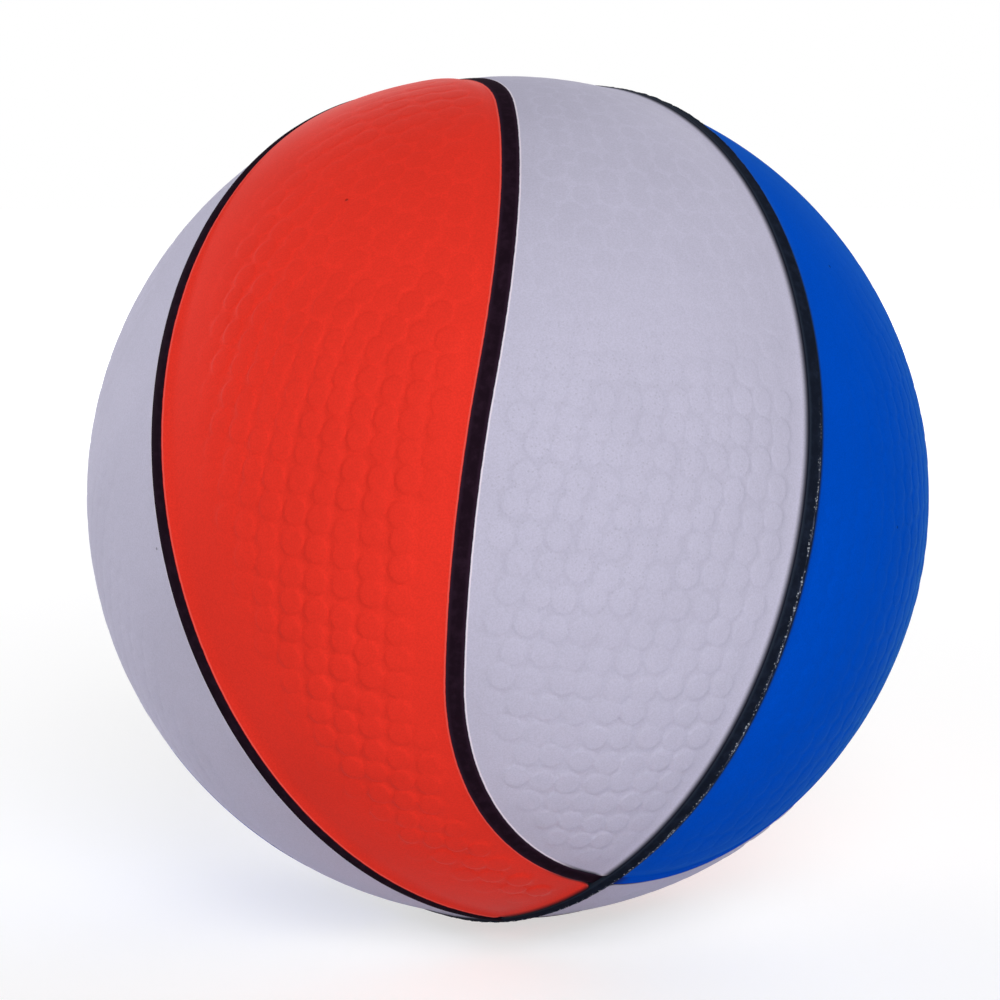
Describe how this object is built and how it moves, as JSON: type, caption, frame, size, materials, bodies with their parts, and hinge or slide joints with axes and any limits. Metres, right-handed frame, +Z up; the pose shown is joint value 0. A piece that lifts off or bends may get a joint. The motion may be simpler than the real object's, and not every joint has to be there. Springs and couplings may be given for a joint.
{
  "type": "basketball",
  "caption": "Small round rubber basketball with pebbled red, white and blue panels between black seam ribs, and a needle valve for inflating it.",
  "frame": {"origin": "middle of the ball", "axes": "+Z up as the ball lies in the picture, +Y out through the valve on the hidden side, +X to complete a right-handed frame"},
  "size_m": [0.13, 0.1299, 0.13],
  "materials": {
    "cover_red": "satin pebbled rubber, orange-red",
    "cover_white": "satin pebbled rubber, cool white",
    "cover_blue": "satin pebbled rubber, royal blue",
    "seam_black": "matt black rubber",
    "carcass_rubber": "matt black rubber",
    "winding_thread": "undyed nylon thread",
    "bladder_rubber": "dark grey butyl rubber",
    "valve_rubber": "black rubber",
    "plug_rubber": "dark grey soft rubber"
  },
  "bodies": {
    "ball": {"bladder": "bladder_rubber", "valve_pad": "bladder_rubber", "valve_body": "valve_rubber", "winding": "winding_thread", "carcass": "carcass_rubber", "panel_red_front": "cover_red", "panel_red_rear": "cover_red", "panel_white_front": "cover_white", "panel_white_rear": "cover_white", "panel_white_left": "cover_white", "panel_white_under": "cover_white", "panel_blue_right": "cover_blue", "panel_blue_left": "cover_blue", "seam_ring": "seam_black", "seam_half_front": "seam_black", "seam_half_rear": "seam_black", "seam_wave_front": "seam_black", "seam_wave_right": "seam_black", "seam_wave_left": "seam_black", "seam_wave_rear": "seam_black"},
    "valve_plug": {"valve_core": "plug_rubber"}
  },
  "joints": [
    {"name": "plug_pull", "type": "slide", "parent": "ball", "child": "valve_plug", "axis": [0, 1, 0], "range_m": [0, 0.012]}
  ]
}
